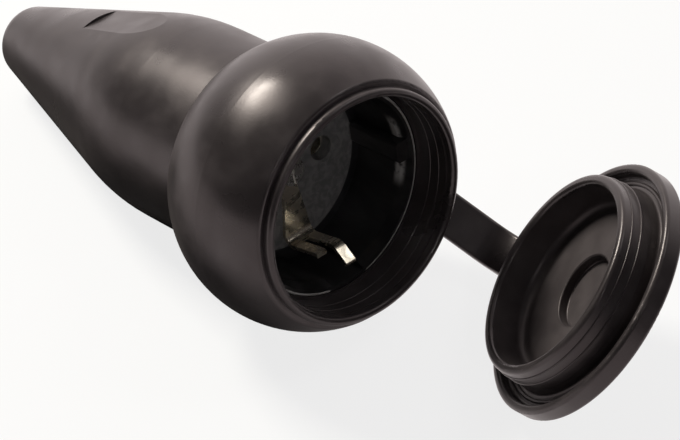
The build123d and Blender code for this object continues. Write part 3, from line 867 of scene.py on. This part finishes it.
class Mesh:
    """Points and faces of one piece while it is being made."""

    def __init__(self) -> None:
        """Start with nothing."""
        self.points: List[Vector] = []
        self.faces: List[Tuple[int, ...]] = []

    def loft(self, rings: Sequence[Sequence[Vector]], closed: bool = False, capped: bool = False) -> None:
        """Join rings of points with strips of faces.

        Args:
            rings: the rings, each with the same number of points.
            closed: whether the last ring joins the first.
            capped: whether a face closes each end.
        """
        base = len(self.points)
        size = len(rings[0])
        for ring in rings:
            self.points.extend(ring)
        count = len(rings) if closed else len(rings) - 1
        for row in range(count):
            here = base + row * size
            there = base + (row + 1) % len(rings) * size
            for place in range(size):
                after = (place + 1) % size
                self.faces.append((here + place, here + after, there + after, there + place))
        if capped:
            last = base + (len(rings) - 1) * size
            self.faces.append(tuple(base + place for place in reversed(range(size))))
            self.faces.append(tuple(last + place for place in range(size)))

    def piece(self, name: str, finish: Finish) -> bpy.types.Object:
        """Make the object.

        Args:
            name: the piece's name.
            finish: its finish.

        Returns:
            The new object, with smooth shading.
        """
        mesh = bpy.data.meshes.new(name)
        mesh.from_pydata([tuple(point) for point in self.points], [], self.faces)
        mesh.validate()
        mesh.shade_smooth()
        mesh.materials.append(finish.material())
        made = bpy.data.objects.new(name, mesh)
        bpy.context.scene.collection.objects.link(made)
        LOG.info("%s: %d points, %d faces", name, len(mesh.vertices), len(mesh.polygons))
        return made


def dress(finish: Finish, *nodes: str) -> None:
    """Give a finish to modelled nodes.

    Args:
        finish: the finish.
        nodes: names of the nodes.
    """
    for name in nodes:
        slots = frame["nodes"][name].data.materials
        slots.clear()
        slots.append(finish.material())
        LOG.info("%s: %s", name, finish.name)


# Sub-assemblies

@dataclass
class RubberShell:
    """The rubber body and the fine sealing rings moulded in its mouth.

    Attributes:
        bench: where the coupler lies.
        bore: radius of the mouth's bore.
        ring: radius of a sealing ring's section.
        ring_places: how far behind the mouth each ring stands.
        segments: points round a ring.
        section: points round its section.
    """

    bench: Bench
    bore: float = 22.5 * MM
    ring: float = 0.15 * MM
    ring_places: Tuple[float, ...] = (2.1 * MM, 4.6 * MM)
    segments: int = 180
    section: int = 12

    def build(self) -> None:
        """Dress the body and add its sealing rings."""
        dress(RUBBER, "rubber_body")
        for number, place in enumerate(self.ring_places, 1):
            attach(self.sealing_ring(f"mouth_ring_{number}", place), Body.COUPLER.value)

    def sealing_ring(self, name: str, place: float) -> bpy.types.Object:
        """Make one ring, half sunk in the bore's wall.

        Args:
            name: the ring's name.
            place: how far behind the mouth it stands.

        Returns:
            The ring.
        """
        rings = []
        for step in range(self.segments):
            turn = FULL_TURN * step / self.segments
            outward = Vector((0, math.cos(turn), math.sin(turn)))
            ring = []
            for corner in range(self.section):
                angle = FULL_TURN * corner / self.section
                radius = self.bore + self.ring * math.cos(angle)
                along = Vector((self.ring * math.sin(angle) - place, 0, 0))
                ring.append(self.bench.coupler @ (outward * radius + along))
            rings.append(ring)
        mesh = Mesh()
        mesh.loft(rings, closed=True)
        return mesh.piece(name, RUBBER)


@dataclass
class CapStrap:
    """The flat rubber strap between the head and the cap, made in one fixed shape; the real strap bends as
    the cap swings.

    Attributes:
        bench: where the coupler and the cap are.
        bulge_place: how far behind the mouth the head is widest.
        bulge: the head's greatest radius.
        root_clock: where on the head the strap starts, from its cap side upwards.
        root_sink: how far the strap's first end is buried in the head.
        rim_middle: middle of the cap's rim on its axis, from the mouth.
        rim: radius of the cap's rim.
        rim_clock: where on the rim the strap ends, from straight at the hinge.
        rim_sink: how far its other end is buried in the rim.
        lead: straight stretch beside the rim.
        bend: radius of the bend.
        width: width of the strap.
        thickness: its thickness.
        edge_share: radius of its rounded edges, as a share of half its thickness.
        flare: how much wider it gets where it grows out of the head and the rim.
        flare_length: length of that widening.
        step: length between its cross sections.
        corner: steps round each rounded edge.
    """

    bench: Bench
    bulge_place: float = 14.0 * MM
    bulge: float = 29.8 * MM
    root_clock: float = math.radians(-31.0)
    root_sink: float = 3.0 * MM
    rim_middle: float = 2.35 * MM
    rim: float = 26.7 * MM
    rim_clock: float = math.radians(4.0)
    rim_sink: float = 1.6 * MM
    lead: float = 9.0 * MM
    bend: float = 11.0 * MM
    width: float = 8.8 * MM
    thickness: float = 2.6 * MM
    edge_share: float = 0.55
    flare: float = 0.35
    flare_length: float = 5.0 * MM
    step: float = 0.5 * MM
    corner: int = 8

    def build(self) -> None:
        """Make the strap and hang it between the head and the cap."""
        route, across = self.route()
        total = (len(route) - 1) * self.step
        rings = []
        for number, (spot, heading) in enumerate(route):
            away = number * self.step
            swell = self.swell(away - self.root_sink) + self.swell(total - self.rim_sink - away)
            rings.append(self.section(spot, heading, across, 1 + self.flare * swell))
        mesh = Mesh()
        mesh.loft(rings, capped=True)
        strap = mesh.piece("soft_strap", RUBBER)
        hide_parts("cap_strap")
        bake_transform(strap)

    def swell(self, away: float) -> float:
        """Widening at a distance from an end: 1 at the end, falling smoothly to 0."""
        share = min(max(1 - away / self.flare_length, 0.0), 1.0)
        return share * share * (3 - 2 * share)

    def route(self) -> Tuple[List[Tuple[Vector, Vector]], Vector]:
        """The strap's middle line.

        Returns:
            Points with headings, evenly spaced, and the direction across the strap.
        """
        clock = self.root_clock
        root = self.bench.coupler @ Vector(
            (-self.bulge_place, self.bulge * math.cos(clock), self.bulge * math.sin(clock))
        )
        middle = self.bench.cap @ Vector((self.rim_middle, 0, 0))
        facing = -(self.bench.cap.to_3x3() @ Vector((1, 0, 0)))
        inward = self.bench.hinge.cross(facing).normalized()
        outward = self.bench.hinge * math.sin(self.rim_clock) - inward * math.cos(self.rim_clock)
        rim = middle + outward * self.rim
        corner = rim + outward * self.lead
        run = (corner - root).normalized()
        turn = run.angle(-outward)
        across = run.cross(-outward).normalized()
        tangent = self.bend * math.tan(turn / 2)
        straight = self.root_sink + (corner - root).length - tangent
        arc = self.bend * turn
        last = self.lead + self.rim_sink - tangent
        inside = across.cross(run)
        centre = corner - run * tangent + inside * self.bend
        count = round((straight + arc + last) / self.step)
        points = []
        for number in range(count + 1):
            away = number * self.step
            if away < straight:
                points.append((root + run * (away - self.root_sink), run))
                continue
            angle = min((away - straight) / self.bend, turn)
            heading = run * math.cos(angle) + inside * math.sin(angle)
            spot = centre + self.bend * (run * math.sin(angle) - inside * math.cos(angle))
            points.append((spot + heading * max(away - straight - arc, 0.0), heading))
        return points, across

    def section(self, spot: Vector, heading: Vector, across: Vector, grown: float) -> List[Vector]:
        """One cross section: a flat bar with round edges.

        Args:
            spot: its middle.
            heading: the way that the strap runs.
            across: the way that its width runs.
            grown: how much larger than the plain section it is.

        Returns:
            Its points, in order.
        """
        up = heading.cross(across)
        half = self.width / 2 * grown
        thick = self.thickness / 2 * grown
        edge = thick * self.edge_share
        points = []
        for quarter, (sign_across, sign_up) in enumerate(((1, 1), (-1, 1), (-1, -1), (1, -1))):
            middle = spot + across * sign_across * (half - edge) + up * sign_up * (thick - edge)
            for number in range(self.corner + 1):
                angle = QUARTER_TURN * (quarter + number / self.corner)
                points.append(middle + (across * math.cos(angle) + up * math.sin(angle)) * edge)
        return points


@dataclass
class SealingCap:
    """The rubber cap with its collar, groove and dished inside.

    Attributes:
        bench: where the cap is.
    """

    bench: Bench

    def build(self) -> None:
        """Dress the cap."""
        cap = self.bench.cap
        along = cap.to_3x3() @ Vector((1, 0, 0))
        dress(DishRubber("cap_rubber", middle=tuple(cap.translation), along=tuple(along)), "sealing_cap")


@dataclass
class PlugWell:
    """The plug well with the earth bow and the screw on its floor.

    Attributes:
        bench: where the coupler lies.
    """

    bench: Bench

    def build(self) -> None:
        """Dress the well's pieces."""
        coupler = self.bench.coupler
        along, sideways, upward = (tuple(way) for way in coupler.to_3x3().col)
        mouth = tuple(coupler.translation)
        plastic = WellPlastic("well_plastic", mouth=mouth, along=along, upward=upward, sideways=sideways)
        dress(plastic, "socket_insert")
        dress(BRASS, "earth_bow")
        dress(ZINC, "centre_screw")


@dataclass
class ContactSet:
    """The carrier behind the well with its contacts and terminals.

    Attributes:
        sides: the two sides that each have a contact.
    """

    sides: Tuple[str, ...] = ("live", "neutral")

    def build(self) -> None:
        """Dress the carrier, the contacts and their screws."""
        dress(CARRIER_PLASTIC, "contact_carrier")
        dress(BRASS, "earth_terminal", *(f"{side}_contact" for side in self.sides))
        dress(ZINC, "earth_terminal_screw", *(f"{side}_terminal_screw" for side in self.sides))
        dress(ZINC, *(f"{side}_clamp_ring" for side in self.sides))


@dataclass
class CordClamp:
    """The bridge that grips the cable, with its two screws."""

    def build(self) -> None:
        """Dress the clamp."""
        dress(CARRIER_PLASTIC, "clamp_bridge")
        dress(ZINC, "clamp_screw_far", "clamp_screw_near")


# Studio

@dataclass(frozen=True)
class Lamp:
    """A studio lamp that faces the object.

    Attributes:
        name: the lamp's name.
        azimuth: where it stands, from +X towards +Y, in degrees.
        elevation: how high it stands, in degrees.
        distance: how far from the object.
    """

    name: str
    azimuth: float
    elevation: float
    distance: float

    def light(self) -> bpy.types.Light:
        """Make what shines in the lamp."""
        raise NotImplementedError

    def build(self, target: Vector) -> None:
        """Stand the lamp so that it faces the target.

        Args:
            target: what it faces.
        """
        turn, rise = math.radians(self.azimuth), math.radians(self.elevation)
        away = Vector((math.cos(turn) * math.cos(rise), math.sin(turn) * math.cos(rise), math.sin(rise)))
        lamp = bpy.data.objects.new(self.name, self.light())
        lamp.location = target + away * self.distance
        lamp.rotation_euler = away.to_track_quat("Z", "Y").to_euler()
        lamp.visible_camera = False
        bpy.context.scene.collection.objects.link(lamp)


@dataclass(frozen=True)
class Softbox(Lamp):
    """A rectangular lamp with an even face.

    Attributes:
        width: its width.
        height: its height.
        radiance: how bright its face is.
        colour: its colour.
    """

    width: float
    height: float
    radiance: float
    colour: Triple = (1, 1, 1)

    def light(self) -> bpy.types.Light:
        """Make the shining face.

        Returns:
            An area light of the box's size.
        """
        light = bpy.data.lights.new(self.name, "AREA")
        light.shape = "RECTANGLE"
        light.size = self.width
        light.size_y = self.height
        light.energy = self.radiance * math.pi * self.width * self.height
        light.color = self.colour
        return light


@dataclass(frozen=True)
class Snoot(Lamp):
    """A small lamp with a narrow soft beam.

    Attributes:
        radius: radius of its opening.
        beam: full angle of its beam, in degrees.
        level: how much light it gives where it points.
        softness: how much of the beam fades towards its edge.
    """

    radius: float
    beam: float
    level: float
    softness: float = 0.6

    def light(self) -> bpy.types.Light:
        """Make the beam.

        Returns:
            A spot light.
        """
        light = bpy.data.lights.new(self.name, "SPOT")
        light.spot_size = math.radians(self.beam)
        light.spot_blend = self.softness
        light.shadow_soft_size = self.radius
        light.energy = self.level * 4 * math.pi * self.distance**2
        return light


LAMPS: Tuple[Lamp, ...] = (
    Softbox(
        "key_softbox", azimuth=-172, elevation=46, distance=0.9,
        width=0.28, height=0.2, radiance=42.0, colour=(1.0, 0.97, 0.87),
    ),
    Softbox(
        "tall_softbox", azimuth=-173, elevation=50, distance=1.0,
        width=0.45, height=1.0, radiance=0.75, colour=(1.0, 0.95, 0.9),
    ),
    Softbox("side_softbox", azimuth=62, elevation=56, distance=1.0, width=0.3, height=0.3, radiance=2.6),
    Snoot("well_snoot", azimuth=-27, elevation=38, distance=1.0, radius=0.05, beam=3.0, level=1.1),
)


@dataclass
class Studio:
    """Pale sweep, soft light and the camera at the photograph's angle.

    Attributes:
        bench: where the coupler lies.
        azimuth: the camera's azimuth, 0 looking along +Y, in degrees.
        elevation: its elevation, in degrees.
        distance: from the camera to the mouth, along the view.
        right: how far right of the view's middle the mouth is.
        above: how far above the view's middle the mouth is.
        lens: focal length in millimetres.
        sensor: sensor width in millimetres.
        clip: the nearest and the farthest that the camera sees.
        floor_size: side of the sweep.
        room: colour of the dim side of the room.
        backdrop: colour of the bright side of the room.
        backdrop_azimuth: where the room is brightest, from +X towards +Y, in degrees.
        backdrop_dip: how far that place lies below level, as a slope.
        backdrop_span: how straight towards it the brightness starts and is full.
        glint_span: how straight towards it the warm white in reflections starts and is full.
        lamps: the softboxes and the small lamp for the well.
    """

    bench: Bench
    azimuth: float = 48.33
    elevation: float = 41.35
    distance: float = 0.550
    right: float = 3.992 * MM
    above: float = 2.679 * MM
    lens: float = 149.95
    sensor: float = 36.0
    clip: Span = (0.01, 50.0)
    floor_size: float = 6.0
    room: Colour = (0.07, 0.066, 0.067, 1)
    backdrop: Colour = (0.95, 0.87, 0.86, 1)
    backdrop_azimuth: float = 125.0
    backdrop_dip: float = 0.15
    backdrop_span: Span = (0.0, 0.95)
    glint_span: Span = (0.5, 1.0)
    lamps: Tuple[Lamp, ...] = LAMPS

    def build(self) -> None:
        """Make the floor, the room, the lamps and the camera."""
        bpy.context.scene.view_settings.view_transform = "Standard"
        self.floor()
        self.world()
        for lamp in self.lamps:
            lamp.build(self.bench.coupler.translation)
        self.camera()

    def floor(self) -> None:
        """Lay the sweep under the object."""
        half = self.floor_size / 2
        mesh = bpy.data.meshes.new("floor")
        corners = [(-half, -half, 0), (half, -half, 0), (half, half, 0), (-half, half, 0)]
        mesh.from_pydata(corners, [], [(0, 1, 2, 3)])
        mesh.materials.append(FLOOR.material())
        floor = bpy.data.objects.new("floor", mesh)
        bpy.context.scene.collection.objects.link(floor)
        floor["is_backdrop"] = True

    def world(self) -> None:
        """Light the room: white where it is looked at, and otherwise bright behind and dim in front."""
        world = bpy.data.worlds.new("studio_room")
        bpy.context.scene.world = world
        world.use_nodes = True
        graph = Graph(world.node_tree)
        turn = math.radians(self.backdrop_azimuth)
        brightest = (math.cos(turn), math.sin(turn), -self.backdrop_dip)
        towards = graph.amount("DOT_PRODUCT", graph.node("ShaderNodeTexCoord", output="Generated"), brightest)
        reflected = graph.ray(Ray.GLOSSY) * towards.between(*self.glint_span)
        glow = graph.mix(towards.between(*self.backdrop_span), self.room, self.backdrop)
        seen = graph.mix(graph.looked_at(), graph.mix(reflected, glow, FLOOR.warm), WHITE)
        sky = graph.node("ShaderNodeBackground", inputs={"Color": seen, "Strength": 1.0})
        graph.node("ShaderNodeOutputWorld", inputs={"Surface": sky})

    def camera(self) -> None:
        """Set the camera where the photograph was taken from."""
        turn, rise = math.radians(self.azimuth), math.radians(self.elevation)
        back = Vector((math.sin(turn) * math.cos(rise), -math.cos(turn) * math.cos(rise), math.sin(rise)))
        right = Vector((math.cos(turn), math.sin(turn), 0))
        above = back.cross(right)
        data = bpy.data.cameras.new("camera")
        data.lens = self.lens
        data.sensor_width = self.sensor
        data.clip_start, data.clip_end = self.clip
        camera = bpy.data.objects.new("camera", data)
        mouth = self.bench.coupler.translation
        camera.location = mouth + back * self.distance - right * self.right - above * self.above
        camera.rotation_euler = back.to_track_quat("Z", "Y").to_euler()
        bpy.context.scene.collection.objects.link(camera)
        bpy.context.scene.camera = camera


@dataclass(frozen=True)
class SizeSheet:
    """Takes the solids' own box and the dressed object's box, but keeps and writes nothing.
    """

    def write(self, before: Tuple[Vector, Vector], after: Tuple[Vector, Vector]) -> None:
        """Take both boxes and do nothing with them.

        Args:
            before: lowest and highest corners of the solids; not used.
            after: lowest and highest corners of the dressed object; not used.
        """


def main() -> None:
    """Build every sub-assembly in order, then the studio."""
    logging.basicConfig(level=logging.INFO, format="%(name)s %(message)s")
    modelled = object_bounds()
    bench = Bench.from_record(frame["record"])
    for assembly in (
        RubberShell(bench),
        CapStrap(bench),
        SealingCap(bench),
        PlugWell(bench),
        ContactSet(),
        CordClamp(),
        Studio(bench),
    ):
        LOG.info("building %s", type(assembly).__name__)
        assembly.build()
    SizeSheet().write(modelled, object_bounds())


if __name__ == "__main__":
    main()
